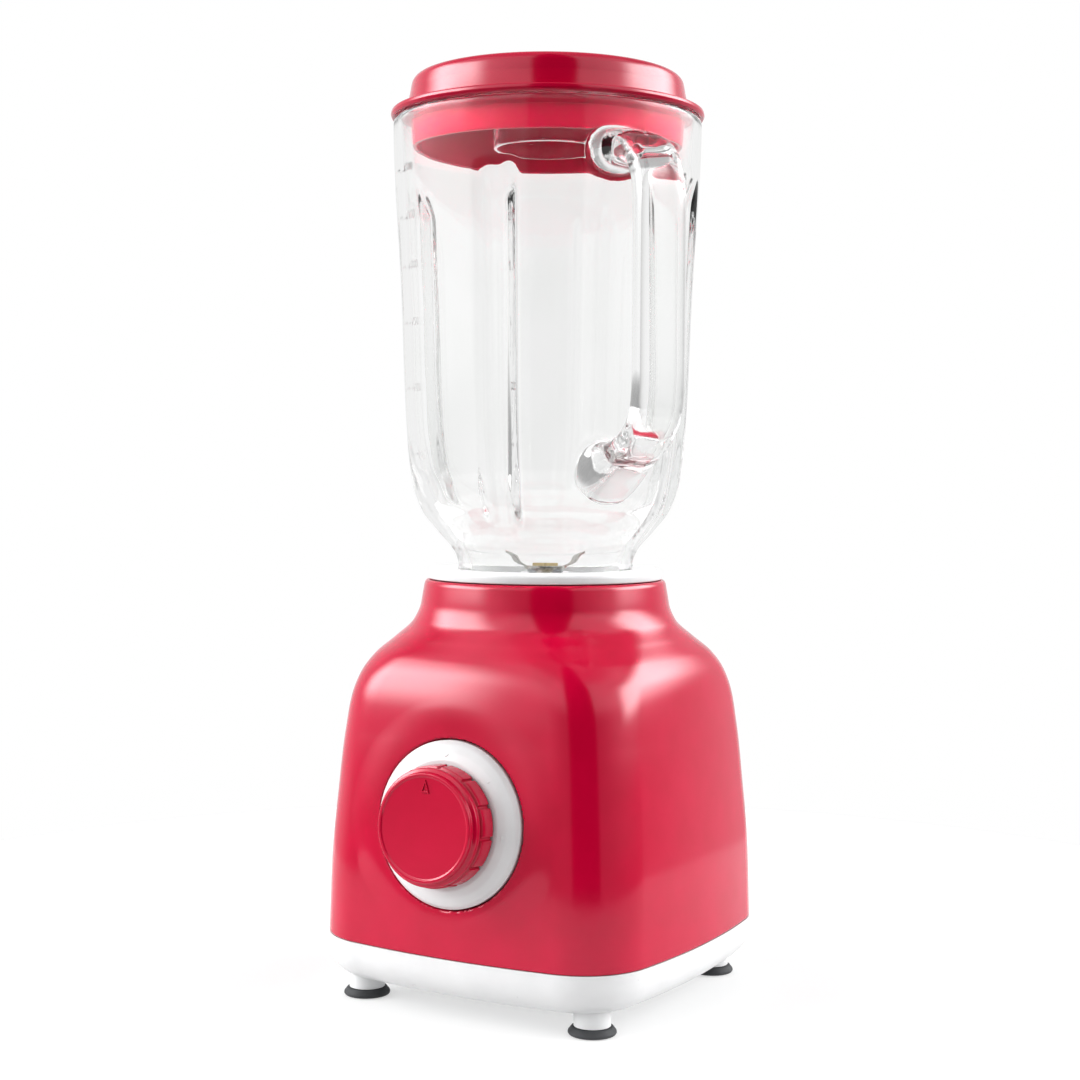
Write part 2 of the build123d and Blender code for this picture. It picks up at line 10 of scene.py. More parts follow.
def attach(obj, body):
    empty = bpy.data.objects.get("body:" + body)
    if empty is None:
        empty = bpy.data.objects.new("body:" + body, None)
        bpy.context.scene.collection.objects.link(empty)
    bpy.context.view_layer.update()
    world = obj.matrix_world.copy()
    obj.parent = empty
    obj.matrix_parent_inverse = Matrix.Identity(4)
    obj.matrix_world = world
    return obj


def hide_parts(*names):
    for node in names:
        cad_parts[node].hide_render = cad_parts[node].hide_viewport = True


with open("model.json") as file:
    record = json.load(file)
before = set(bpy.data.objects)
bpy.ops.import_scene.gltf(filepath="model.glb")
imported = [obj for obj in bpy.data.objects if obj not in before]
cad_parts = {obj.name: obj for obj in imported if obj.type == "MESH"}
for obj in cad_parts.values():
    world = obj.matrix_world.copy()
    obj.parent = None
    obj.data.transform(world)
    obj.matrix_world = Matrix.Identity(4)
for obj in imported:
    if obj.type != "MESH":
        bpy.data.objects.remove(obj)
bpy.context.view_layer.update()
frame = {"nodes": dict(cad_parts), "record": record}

MM = 0.001

# ---------------------------------------------------------------- camera
AZIMUTH, PITCH, ROLL = radians(30.5), radians(2.17), radians(0.3)
DISTANCE, EYE_HEIGHT, SIDEWAYS = 0.828, 0.2285, -0.0024
LENS_MM, SENSOR_MM = 62.4, 36.0


def make_camera():
    data = bpy.data.cameras.new("camera")
    data.lens, data.sensor_width = LENS_MM, SENSOR_MM
    camera = bpy.data.objects.new("camera", data)
    bpy.context.scene.collection.objects.link(camera)
    back = Vector((sin(AZIMUTH), -cos(AZIMUTH), 0))
    right = Vector((cos(AZIMUTH), sin(AZIMUTH), 0))
    camera.location = back * DISTANCE + right * SIDEWAYS + Vector((0, 0, EYE_HEIGHT))
    turn = Matrix.Rotation(AZIMUTH, 4, "Z") @ Matrix.Rotation(pi / 2 - PITCH, 4, "X")
    camera.rotation_euler = (turn @ Matrix.Rotation(ROLL, 4, "Z")).to_euler()
    bpy.context.scene.camera = camera


# ---------------------------------------------------------------- mesh helpers
def smooth_step(low, high, value):
    part = np.clip((value - low) / (high - low), 0.0, 1.0)
    return part * part * (3 - 2 * part)


def curve_through(points):
    """A smooth function height -> value through a few (height, value) points, with no overshoot."""
    x, y = np.array(sorted(points), float).T
    step, slope = np.diff(x), np.diff(y) / np.diff(x)
    tangent = np.zeros(len(x))
    tangent[0], tangent[-1] = slope[0], slope[-1]
    same = slope[:-1] * slope[1:] > 0
    w1, w2 = 2 * step[1:] + step[:-1], step[1:] + 2 * step[:-1]
    with np.errstate(divide="ignore", invalid="ignore"):
        mean = (w1 + w2) / (w1 / slope[:-1] + w2 / slope[1:])
    tangent[1:-1] = np.where(same, mean, 0.0)

    def value(at):
        at = np.clip(np.asarray(at, float), x[0], x[-1])
        i = np.clip(np.searchsorted(x, at, side="right") - 1, 0, len(step) - 1)
        t = (at - x[i]) / step[i]
        return ((1 + 2 * t) * (1 - t) ** 2 * y[i] + t * (1 - t) ** 2 * step[i] * tangent[i]
                + t * t * (3 - 2 * t) * y[i + 1] + t * t * (t - 1) * step[i] * tangent[i + 1])

    return value


def rounded_profile(corners, steps=6):
    """Round a closed outline of (radius, height, rounding) corners with arcs."""
    points = []
    count = len(corners)
    for i, (x, y, rounding) in enumerate(corners):
        here = Vector((x, y))
        before = Vector(corners[i - 1][:2]) - here
        after = Vector(corners[(i + 1) % count][:2]) - here
        if rounding <= 0:
            points.append((x, y))
            continue
        half = before.angle(after) / 2
        reach = min(rounding / tan(half), 0.48 * before.length, 0.48 * after.length)
        rounding = reach * tan(half)
        start, end = here + before.normalized() * reach, here + after.normalized() * reach
        centre = here + (before.normalized() + after.normalized()).normalized() * rounding / sin(half)
        first, last = start - centre, end - centre
        sweep = first.angle_signed(last)
        for k in range(steps + 1):
            turned = first.copy()
            turned.rotate(Matrix.Rotation(-sweep * k / steps, 2))
            points.append(tuple(centre + turned))
    return np.array(points)


def new_piece(name, verts, faces, smooth=True):
    mesh = bpy.data.meshes.new(name)
    mesh.from_pydata([tuple(v) for v in verts], [], faces)
    mesh.validate()
    mesh.polygons.foreach_set("use_smooth", [smooth] * len(mesh.polygons))
    mesh.update()
    piece = bpy.data.objects.new(name, mesh)
    bpy.context.scene.collection.objects.link(piece)
    return piece


def grid_faces(rows, columns, close_rows=True):
    """Quads of a grid whose columns wrap round; with close_rows its last row joins its first."""
    row = np.arange(rows if close_rows else rows - 1)[:, None]
    column = np.arange(columns)[None, :]
    up, along = (row + 1) % rows, (column + 1) % columns
    quads = np.stack([row * columns + column, row * columns + along, up * columns + along,
                      up * columns + column], axis=-1)
    return quads.reshape(-1, 4).tolist()


def turned_verts(profile, columns, radial=None):
    """Points of a closed outline turned about Z; radial(angle, radius, height) may shape it."""
    angle = np.linspace(0, 2 * pi, columns, endpoint=False)[None, :]
    radius, height = profile[:, 0][:, None], profile[:, 1][:, None] + 0 * angle
    if radial is not None:
        radius = radial(angle, radius, height)
    radius = radius + 0 * angle
    return np.stack([radius * np.cos(angle), radius * np.sin(angle), height], axis=-1).reshape(-1, 3)


def sharpen(piece, degrees=35):
    """Keep real corners crisp where smooth shading would bend the light across them."""
    piece.data.set_sharp_from_angle(angle=radians(degrees))


def turned_piece(name, corners, columns=192, radial=None, place=Matrix.Identity(4), steps=6):
    profile = rounded_profile(corners, steps) * MM
    verts = turned_verts(profile, columns, radial)
    piece = new_piece(name, verts, grid_faces(len(profile), columns))
    piece.data.transform(place)
    fix_normals(piece)
    sharpen(piece)
    return piece


def fix_normals(piece):
    work = bmesh.new()
    work.from_mesh(piece.data)
    bmesh.ops.remove_doubles(work, verts=work.verts, dist=1e-6)
    bmesh.ops.recalc_face_normals(work, faces=work.faces)
    work.to_mesh(piece.data)
    work.free()


def applied(piece):
    """Bake the piece's modifiers into its mesh."""
    graph = bpy.context.evaluated_depsgraph_get()
    mesh = bpy.data.meshes.new_from_object(piece.evaluated_get(graph))
    piece.modifiers.clear()
    piece.data = mesh
    return piece


def finish_piece(piece, body, slot, *nodes):
    piece.data.materials.clear()
    piece.data.materials.append(MATERIALS[slot])
    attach(piece, body)
    if nodes:
        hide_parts(*nodes)
    return piece


# ---------------------------------------------------------------- materials
class Shader:
    """A Principled material with a few helpers for its procedural detail."""

    def __init__(self, name, **values):
        self.material = bpy.data.materials.new(name)
        self.material.use_nodes = True
        self.tree = self.material.node_tree
        self.body = self.tree.nodes["Principled BSDF"]
        for socket, value in values.items():
            self.body.inputs[socket.replace("_", " ")].default_value = value
        self.coordinates = self.tree.nodes.new("ShaderNodeTexCoord").outputs["Object"]

    def node(self, kind, **inputs):
        made = self.tree.nodes.new(kind)
        for socket, value in inputs.items():
            made.inputs[socket.replace("_", " ")].default_value = value
        return made

    def link(self, source, target):
        self.tree.links.new(source, target)

    def noise(self, scale, detail=2.0, stretch=(1, 1, 1)):
        """Noise of that many cells a metre, stretched along the axes."""
        mapping = self.node("ShaderNodeMapping")
        mapping.inputs["Scale"].default_value = stretch
        self.link(self.coordinates, mapping.inputs["Vector"])
        noise = self.node("ShaderNodeTexNoise", Scale=scale, Detail=detail)
        self.link(mapping.outputs["Vector"], noise.inputs["Vector"])
        return noise.outputs["Fac"]

    def spread(self, factor, low, high):
        ranged = self.node("ShaderNodeMapRange")
        ranged.inputs["To Min"].default_value = low
        ranged.inputs["To Max"].default_value = high
        self.link(factor, ranged.inputs["Value"])
        return ranged.outputs["Result"]

    def roughness(self, factor, low, high):
        self.link(self.spread(factor, low, high), self.body.inputs["Roughness"])

    def colour(self, factor, dark, light):
        ramp = self.node("ShaderNodeValToRGB")
        ramp.color_ramp.elements[0].color = (*dark, 1)
        ramp.color_ramp.elements[0].position = 0.3
        ramp.color_ramp.elements[1].color = (*light, 1)
        ramp.color_ramp.elements[1].position = 0.7
        self.link(factor, ramp.inputs["Fac"])
        self.link(ramp.outputs["Color"], self.body.inputs["Base Color"])

    def bump(self, factor, depth_mm, strength=1.0):
        bump = self.node("ShaderNodeBump", Strength=strength, Distance=depth_mm * MM)
        self.link(factor, bump.inputs["Height"])
        if self.body.inputs["Normal"].is_linked:
            self.link(self.body.inputs["Normal"].links[0].from_socket, bump.inputs["Normal"])
        self.link(bump.outputs["Normal"], self.body.inputs["Normal"])


def moulded_plastic(name, dark, light, rough, grain_mm=0.004, **values):
    shader = Shader(name, **values)
    cloud = shader.noise(60, 3.0)
    shader.colour(cloud, dark, light)
    shader.roughness(shader.noise(400, 2.0), *rough)
    shader.bump(shader.noise(2500, 2.0), grain_mm)
    shader.bump(shader.noise(35, 1.0), 0.05, 0.5)
    return shader.material


def clear_glass(name, ior, rough, wave_mm, tint):
    shader = Shader(name, Transmission_Weight=1.0, IOR=ior, Roughness=0.0)
    shader.colour(shader.noise(30, 1.0), tint, (1.0, 1.0, 1.0))
    if rough:
        shader.roughness(shader.noise(90, 2.0), *rough)
    shader.bump(shader.noise(70, 1.0, (1, 1, 0.35)), wave_mm, 0.6)
    return shader.material


def worked_metal(name, dark, light, rough, stretch=(1, 1, 12), grain=900):
    shader = Shader(name, Metallic=1.0)
    lines = shader.noise(grain, 3.0, stretch)
    shader.colour(lines, dark, light)
    shader.roughness(lines, *rough)
    shader.bump(lines, 0.01, 0.6)
    return shader.material


def soft_rubber(name, dark, light, rough=(0.55, 0.75)):
    shader = Shader(name)
    shader.colour(shader.noise(120, 3.0), dark, light)
    shader.roughness(shader.noise(500, 2.0), *rough)
    shader.bump(shader.noise(1800, 3.0), 0.03)
    return shader.material


MATERIALS = {
    "red_plastic": moulded_plastic("red_plastic", (0.44, 0.0, 0.034), (0.48, 0.0, 0.040),
                                   (0.10, 0.15), 0.002, Specular_IOR_Level=0.6),
    "white_plastic": moulded_plastic("white_plastic", (0.62, 0.625, 0.63), (0.66, 0.665, 0.67),
                                     (0.25, 0.35)),
    "black_plastic": moulded_plastic("black_plastic", (0.018, 0.018, 0.02), (0.03, 0.03, 0.032),
                                     (0.4, 0.55)),
    "grey_plastic": moulded_plastic("grey_plastic", (0.28, 0.29, 0.30), (0.36, 0.37, 0.38), (0.4, 0.5)),
    "carbon": moulded_plastic("carbon", (0.015, 0.015, 0.015), (0.04, 0.04, 0.04), (0.6, 0.8), 0.02),
    "jar_glass": clear_glass("jar_glass", 1.5, None, 0.12, (0.98, 0.985, 0.98)),
    "clear_plastic": clear_glass("clear_plastic", 1.46, (0.02, 0.05), 0.05, (0.97, 0.97, 0.98)),
    "foot_rubber": soft_rubber("foot_rubber", (0.035, 0.037, 0.04), (0.06, 0.062, 0.066)),
    "seal_silicone": soft_rubber("seal_silicone", (0.68, 0.68, 0.67), (0.78, 0.78, 0.77), (0.4, 0.5)),
    "blade_steel": worked_metal("blade_steel", (0.50, 0.49, 0.46), (0.66, 0.65, 0.62), (0.22, 0.34),
                                (1, 1, 8)),
    "plain_steel": worked_metal("plain_steel", (0.42, 0.43, 0.45), (0.55, 0.56, 0.58), (0.25, 0.4)),
    "motor_steel": worked_metal("motor_steel", (0.22, 0.23, 0.25), (0.34, 0.35, 0.37), (0.4, 0.6),
                                (1, 1, 60), 60),
    "copper": worked_metal("copper", (0.55, 0.24, 0.10), (0.70, 0.33, 0.15), (0.3, 0.45), (40, 40, 1), 60),
    "brass": worked_metal("brass", (0.62, 0.50, 0.26), (0.74, 0.62, 0.36), (0.25, 0.38)),
}


def dress_cad_nodes():
    """Give every carried-over CAD node the material of its slot."""
    slots = {part["node"]: part["material_slot"] for part in frame["record"]["subparts"]}
    for name, node in frame["nodes"].items():
        if not node.data.materials:
            node.data.materials.append(None)
        for slot in node.material_slots:
            slot.material = MATERIALS[slots[name]]


# ---------------------------------------------------------------- housing
SHELL_STATIONS = ((27.7, 44.8, 32.0), (60, 44.0, 32.0), (90, 42.0, 32.0), (115, 39.9, 32.0),
                  (130, 37.4, 32.8), (140, 32.6, 35.5), (148, 24.6, 40.5), (155, 14.0, 46.5),
                  (162, 5.0, 51.2), (170, 0.6, 53.9), (180, 0.0, 53.0))
SIDE_BREAK = radians(8.0)
WALL = 2.5
SHELL_FOOT, RIM_START, RIM_ROUNDING = 27.72, 178.2, 1.8  # heights of both ends of the side, top rounding
FOOT_STEP, FOOT_INSET = (27.4, 28.4), 0.5  # heights and depth of the small step above the tray
FLAT_RADIUS, FLAT_BLEND, FLAT_OUT = 35.5, 52.0, 0.1  # the flat round the dial, and where it fades out
POCKET_EDGE, POCKET_DEPTH = (34.7, 35.3), 2.8
SWITCH_ROOM, SWITCH_SPAN, SWITCH_HEIGHT = 4.0, 44, 83  # the inner wall stands back this far behind the dial
DIAL_TILT = radians(4.6)
DIAL_CENTRE = Vector((0, -76.58, 82.8))
DIAL_OUT = Vector((0, -cos(DIAL_TILT), sin(DIAL_TILT)))
DIAL_UP = Vector((0, sin(DIAL_TILT), cos(DIAL_TILT)))
DIAL_PLACE = Matrix.Translation(DIAL_CENTRE * MM) @ Matrix(
    ((1, 0, 0), (0, DIAL_UP.y, DIAL_UP.z), (0, DIAL_OUT.y, DIAL_OUT.z))).transposed().to_4x4()
shell_spread = curve_through([(z, p) for z, p, _ in SHELL_STATIONS])
shell_radius = curve_through([(z, r) for z, _, r in SHELL_STATIONS])


def shell_ring(spread, radius, columns):
    """Points of one rounded-square outline, evenly spaced along its sides and corners."""
    side_radius = radius + spread / sin(SIDE_BREAK)
    half_side = side_radius * SIDE_BREAK
    corner = radius * (pi / 2 - 2 * SIDE_BREAK)
    length = 2 * half_side + corner
    along = np.linspace(0, 4, columns, endpoint=False)
    quarter = np.floor(along)
    travel = (along - quarter) * length - half_side
    on_side = travel < half_side
    angle = np.where(on_side, travel / side_radius, SIDE_BREAK + (travel - half_side) / radius)
    arm = np.where(on_side, side_radius, radius)
    middle_x = np.where(on_side, spread + radius * cos(SIDE_BREAK) - side_radius * cos(SIDE_BREAK), spread)
    middle_y = np.where(on_side, 0.0, spread)
    x, y = middle_x + arm * np.cos(angle), middle_y + arm * np.sin(angle)
    turn = quarter * pi / 2
    return np.stack([x * np.cos(turn) - y * np.sin(turn), x * np.sin(turn) + y * np.cos(turn)], -1)


def press_dial_pocket(points):
    """Flatten the front face round the dial and sink a pocket that the dial ring sits in."""
    offset = points - np.array(DIAL_CENTRE)
    out = offset @ np.array(DIAL_OUT)
    up = offset @ np.array(DIAL_UP)
    away = np.hypot(points[:, 0], up)
    front = points[:, 1] < -40
    flat = FLAT_OUT + (out - FLAT_OUT) * smooth_step(FLAT_RADIUS, FLAT_BLEND, away)
    target = -POCKET_DEPTH + (flat + POCKET_DEPTH) * smooth_step(*POCKET_EDGE, away)
    shift = np.where(front & (away < FLAT_BLEND), target - out, 0.0)
    return points + shift[:, None] * np.array(DIAL_OUT)


def make_housing():
    columns = 880
    heights = np.concatenate([np.linspace(SHELL_FOOT, FOOT_STEP[1], 4), np.linspace(29.4, RIM_START, 260)])
    rows = []
    for height in heights:
        inset = FOOT_INSET * (1 - smooth_step(*FOOT_STEP, height))
        ring = shell_ring(float(shell_spread(height)), float(shell_radius(height)) - inset, columns)
        rows.append(np.column_stack([ring, np.full(columns, height)]))
    outer = press_dial_pocket(np.concatenate(rows))
    neck = float(shell_radius(RIM_START))
    angle = np.arctan2(rows[-1][:, 1], rows[-1][:, 0])
    rim = []
    for k in range(1, 7):  # rounded top edge of the neck
        bend = k / 6 * pi / 2
        rim.append((neck - RIM_ROUNDING + RIM_ROUNDING * cos(bend), RIM_START + RIM_ROUNDING * sin(bend)))
    rim += [(48.9, 180.0), (48.7, 179.8), (48.7, 172.0)]
    for radius, height in rim:
        outer = np.concatenate([outer, np.column_stack(
            [radius * np.cos(angle), radius * np.sin(angle), np.full(columns, height)])])
    inner = []
    for height in np.linspace(168, SHELL_FOOT, 60):
        ring = shell_ring(float(shell_spread(height)), float(shell_radius(height)) - WALL, columns)
        inner.append(np.column_stack([ring, np.full(columns, height)]))
    inner = np.concatenate(inner)
    aside, aloft = np.abs(inner[:, 0]), np.abs(inner[:, 2] - SWITCH_HEIGHT)
    behind_dial = (aside < SWITCH_SPAN) & (aloft < SWITCH_SPAN) & (inner[:, 1] < 0)
    inner[behind_dial, 1] += SWITCH_ROOM
    verts = np.concatenate([outer, inner]) * MM
    piece = new_piece("housing_shell", verts, grid_faces(len(verts) // columns, columns))
    fix_normals(piece)
    sharpen(piece, 50)
    finish_piece(piece, "base", "red_plastic", "housing")


# ---------------------------------------------------------------- lid, cap, collar, feet
def make_lid():
    corners = [(57.0, 367.5, 0.8), (59.0, 367.5, 0.8), (59.6, 377.4, 0.6), (62.9, 378.4, 0.5),
               (62.9, 381.0, 0.3), (67.9, 381.0, 0.8), (68.6, 382.4, 0.8), (68.3, 384.1, 0.9),
               (61.8, 384.9, 0.9), (60.3, 391.6, 8.0), (59.0, 399.2, 6.2), (28.3, 399.2, 0.6),
               (28.3, 397.5, 0.2), (24.3, 397.5, 0.4), (24.3, 386.0, 0.7), (26.5, 386.0, 0.7),
               (26.5, 395.0, 0.8), (30.6, 395.0, 0.8), (30.6, 396.8, 0.8), (55.0, 396.8, 3.0),
               (57.0, 390.0, 1.0)]
    lid = turned_piece("lid_shell", corners, 256)
    finish_piece(lid, "lid", "red_plastic", "lid")


def make_cap():
    corners = [(22.2, 368.0, 0.5), (23.8, 368.0, 0.7), (23.8, 397.7, 0.2), (27.8, 397.7, 0.4),
               (27.8, 400.2, 1.0), (22.2, 400.2, 0.9), (22.2, 388.4, 1.2), (0.0, 388.4, 0),
               (0.0, 386.4, 0), (22.2, 386.4, 1.2)]
    cap = turned_piece("cap_cup", corners, 192)
    bar = rounded_block("cap_bar", (44.0, 5.0, 11.2), (0, 0, 393.9), 1.2)
    finish_piece(cap, "cap", "clear_plastic", "measuring_cap")
    finish_piece(bar, "cap", "clear_plastic")


def rounded_block(name, size, centre, rounding):
    """A bevelled block, from its eight corners."""
    x, y, z = (Vector(size) / 2) * MM
    verts = [(sx * x, sy * y, sz * z) for sx in (-1, 1) for sy in (-1, 1) for sz in (-1, 1)]
    faces = [(0, 1, 3, 2), (4, 6, 7, 5), (0, 4, 5, 1), (2, 3, 7, 6), (0, 2, 6, 4), (1, 5, 7, 3)]
    block = new_piece(name, verts, faces)
    block.data.transform(Matrix.Translation(Vector(centre) * MM))
    bevel = block.modifiers.new("edges", "BEVEL")
    bevel.width, bevel.segments = rounding * MM, 4
    applied(block)
    fix_normals(block)
    sharpen(block)
    return block


def make_collar():
    corners = [(38.8, 184.8, 0.5), (38.8, 155.0, 0.2), (30.5, 155.0, 0.3), (30.5, 152.0, 0.4),
               (45.0, 152.0, 0.6), (45.0, 180.3, 0.3), (51.5, 180.3, 0.5), (51.5, 184.8, 2.4)]
    collar = turned_piece("collar_ring", corners, 256)
    finish_piece(collar, "jar", "white_plastic", "jar_collar")


FOOT_REACH = 56
FOOT_SPOTS = [(x, y) for x in (-FOOT_REACH, FOOT_REACH) for y in (-FOOT_REACH, FOOT_REACH)]


def make_feet():
    corners = [(0.0, 1.6, 0), (5.5, 1.2, 2.0), (8.8, 0.0, 0.2), (9.6, 0.0, 0.2), (10.0, 0.6, 0.3),
               (9.9, 1.3, 0.4), (8.4, 3.2, 1.2), (3.4, 3.2, 0.3), (3.4, 8.0, 0.4), (0.0, 8.0, 0)]
    profile = rounded_profile(corners) * MM
    single = turned_verts(profile, 96)
    quads = np.array(grid_faces(len(profile), 96))
    verts = np.concatenate([single + np.array((x, y, 0)) * MM for x, y in FOOT_SPOTS])
    faces = np.concatenate([quads + i * len(single) for i in range(len(FOOT_SPOTS))])
    feet = new_piece("suction_feet", verts, faces.tolist())
    fix_normals(feet)
    sharpen(feet)
    finish_piece(feet, "base", "foot_rubber", "rubber_feet")


# ---------------------------------------------------------------- dial ring and knob
DIAL_FIGURES = (("0", 0), ("1", 47), ("2", 95))  # clockwise degrees from the top
FIGURE_HIGH, FIGURE_DEEP = 5.6, 0.5
FIGURE_SPOT, FIGURE_LEAN = (0, 29.6, 4.25), radians(31)


def make_dial_ring():
    corners = [(7.0, 5.8, 0.3), (7.0, 3.3, 0), (28.0, 3.0, 1.0), (32.0, 0.5, 1.0), (32.0, -2.7, 0),
               (34.5, -2.7, 0), (34.5, 0.7, 0.7), (33.0, 2.7, 4.0), (29.9, 4.6, 6.0), (26.6, 5.8, 3.0)]
    ring = turned_piece("dial_bezel", corners, 256, place=DIAL_PLACE)
    finish_piece(ring, "base", "white_plastic", "dial_ring")
    for text, degrees in DIAL_FIGURES:
        mark = dial_numeral(text, radians(degrees))
        finish_piece(mark, "base", "white_plastic")


def text_mesh(name, text, height_mm, depth_mm):
    """Plain numerals as a mesh, centred, standing on the XY plane."""
    curve = bpy.data.curves.new(name, "FONT")
    curve.body, curve.size, curve.extrude = text, height_mm * MM, depth_mm * MM / 2
    curve.align_x, curve.align_y = "CENTER", "CENTER"
    curve.bevel_depth, curve.bevel_resolution = 0.12 * MM, 2
    holder = bpy.data.objects.new(name, curve)
    bpy.context.scene.collection.objects.link(holder)
    graph = bpy.context.evaluated_depsgraph_get()
    graph.update()
    mesh = bpy.data.meshes.new_from_object(holder.evaluated_get(graph))
    bpy.data.objects.remove(holder)
    piece = bpy.data.objects.new(name, mesh)
    bpy.context.scene.collection.objects.link(piece)
    return piece


def dial_numeral(text, clockwise):
    """A raised numeral on the ring's sloping face, its foot towards the knob."""
    numeral = text_mesh("dial_mark_" + text, text, FIGURE_HIGH, FIGURE_DEEP)
    lean = Matrix.Rotation(-FIGURE_LEAN, 4, "X")
    out = Matrix.Translation(Vector(FIGURE_SPOT) * MM)
    numeral.data.transform(DIAL_PLACE @ Matrix.Rotation(-clockwise, 4, "Z") @ out @ lean)
    return numeral


KNOB_PANELS, PANEL_START = 12, radians(6)
GROOVE_RADIUS, GROOVE_EDGE, GROOVE_DEPTH = 25.0, (0.55, 0.95), 1.0
SKIRT_RADIUS, SKIRT_TOP = (24.3 * MM, 24.4 * MM), (13.6 * MM, 13.8 * MM)  # the part the grooves are cut in


def knob_radial(angle, radius, height):
    """Shallow grooves between the grip panels on the knob's skirt."""
    clockwise = pi / 2 - angle - PANEL_START
    phase = np.abs((clockwise / (2 * pi) * KNOB_PANELS + 0.5) % 1.0 - 0.5) * 2 * pi / KNOB_PANELS
    groove = 1 - smooth_step(*GROOVE_EDGE, phase * GROOVE_RADIUS)
    skirt = smooth_step(*SKIRT_RADIUS, radius) * (1 - smooth_step(*SKIRT_TOP, height))
    return radius - groove * skirt * GROOVE_DEPTH * MM


def make_knob():
    corners = [(3.05, 6.4, 0), (7.0, 6.4, 0.2), (7.0, 16.6, 0.5), (20.6, 16.6, 0.8), (22.4, 6.4, 0.3),
               (25.1, 6.4, 0.5), (25.06, 7.2, 0), (24.95, 9.0, 0), (24.8, 11.6, 0), (24.7, 13.5, 0.3),
               (23.5, 13.8, 0.2), (23.4, 14.6, 0.2), (24.1, 15.0, 0.3), (24.0, 16.8, 0.7),
               (22.4, 17.5, 0.3), (22.3, 18.9, 0.5), (21.8, 19.5, 0.4), (20.9, 19.5, 0.4),
               (20.3, 19.1, 0.5), (0.0, 19.1, 0), (0.0, 15.0, 0), (3.05, 15.0, 0)]
    knob = turned_piece("knob_cap", corners, 720, knob_radial, DIAL_PLACE, steps=4)
    finish_piece(knob, "knob", "red_plastic", "knob")
    pointer = pointer_triangle()
    finish_piece(pointer, "knob", "red_plastic")


POINTER_CORNERS, POINTER_OUT = ((0, 3.4), (-2.1, -2.2), (2.1, -2.2)), 16.2
# Share of the corners' reach, and height: the outer outline's foot and top, then the inner one's.
POINTER_OUTLINES = ((1.0, 18.9), (0.9, 19.6), (0.55, 18.9), (0.616, 19.6))


def pointer_triangle():
    """A raised triangular outline near the rim of the knob's face."""
    verts, faces = [], []
    for share, height in POINTER_OUTLINES:
        for x, y in POINTER_CORNERS:
            verts.append(Vector((x * share, POINTER_OUT + y * share, height)) * MM)
    for k in range(3):
        n = (k + 1) % 3
        faces += [(k, n, 3 + n, 3 + k), (6 + n, 6 + k, 9 + k, 9 + n), (3 + k, 3 + n, 9 + n, 9 + k),
                  (n, k, 6 + k, 6 + n)]
    piece = new_piece("knob_pointer", verts, faces, smooth=False)
    piece.data.transform(DIAL_PLACE)
    fix_normals(piece)
    return piece


# ---------------------------------------------------------------- glass jar
HANDLE_ANGLE = radians(-35.0)
OUTER_POINTS = ((163, 38.5), (187, 38.5), (192, 40.2), (201, 47.5), (210, 54.5), (223, 58.9), (245, 61.3),
                (308, 64.0), (378, 67.4), (380.7, 67.2))
INNER_POINTS = ((163, 33.0), (187, 33.0), (197, 35.6), (206.5, 43.0), (215.5, 50.0), (229, 54.8),
                (247, 57.3), (308, 60.0), (377, 63.4), (380.7, 63.6))
jar_outer = curve_through(OUTER_POINTS)
jar_inner = curve_through(INNER_POINTS)
FLUTES = [HANDLE_ANGLE + radians(a) for a in (45, 135, -45, -135)]
OUTER_FLUTE, INNER_FLUTE = (9.5, 3.4), (11.0, 5.4)  # half width and depth of each upright flute
FLUTE_FOOT, FLUTE_TOP = (196, 226), (340, 356)  # heights between which a flute fades in and out
FLUTE_RADIUS, FLUTE_FLOOR = 62.0, 0.3  # the wall's radius there, and the share pressed in fully


def flute_depth(angle, height, half_width, depth):
    """How far the four upright flutes press the wall in, in millimetres."""
    press = 0
    ends = smooth_step(*FLUTE_FOOT, height) * (1 - smooth_step(*FLUTE_TOP, height))
    for flute in FLUTES:
        arc = np.abs((angle - flute + pi) % (2 * pi) - pi) * FLUTE_RADIUS
        press = press + depth * (1 - smooth_step(FLUTE_FLOOR, 1.0, arc / half_width))
    return press * ends


def jar_skin(radius_at, heights, columns, half_width, depth):
    angle = np.linspace(0, 2 * pi, columns, endpoint=False)[None, :]
    height = np.asarray(heights, float)[:, None]
    radius = radius_at(height) - flute_depth(angle, height, half_width, depth)
    return np.stack([radius * np.cos(angle), radius * np.sin(angle), height + 0 * angle], -1).reshape(-1, 3)


def capped(name, verts, rows, columns):
    """A closed tube: a grid with its first and last rows closed by one face each."""
    faces = grid_faces(rows, columns, close_rows=False)
    faces.append(list(range(columns))[::-1])
    faces.append([(rows - 1) * columns + c for c in range(columns)])
    piece = new_piece(name, verts * MM, faces)
    fix_normals(piece)
    return piece


HANDLE_PATH = ((62.0, 358.0), (80.0, 357.6), (93.0, 354.5), (102.2, 345.5), (105.0, 332.0), (105.0, 300.0),
               (105.0, 268.0), (104.0, 254.0), (97.5, 243.0), (86.0, 236.5), (72.0, 231.0), (57.0, 226.0))
BAR_WIDE, BAR_THICK = (10.6, 3.0), (6.4, 7.0)  # half size along the bar, and what its feet add
UPPER_BULGE, LOWER_BULGE, FOOT_LENGTH = 0.45, 1.0, 30
BAR_SQUARENESS, FOOT_ROUNDING = 0.62, 0.33  # superellipse exponent of the section, and what its feet add
VOXEL_MM, QUICK_VOXEL_MM = 0.9, 1.6


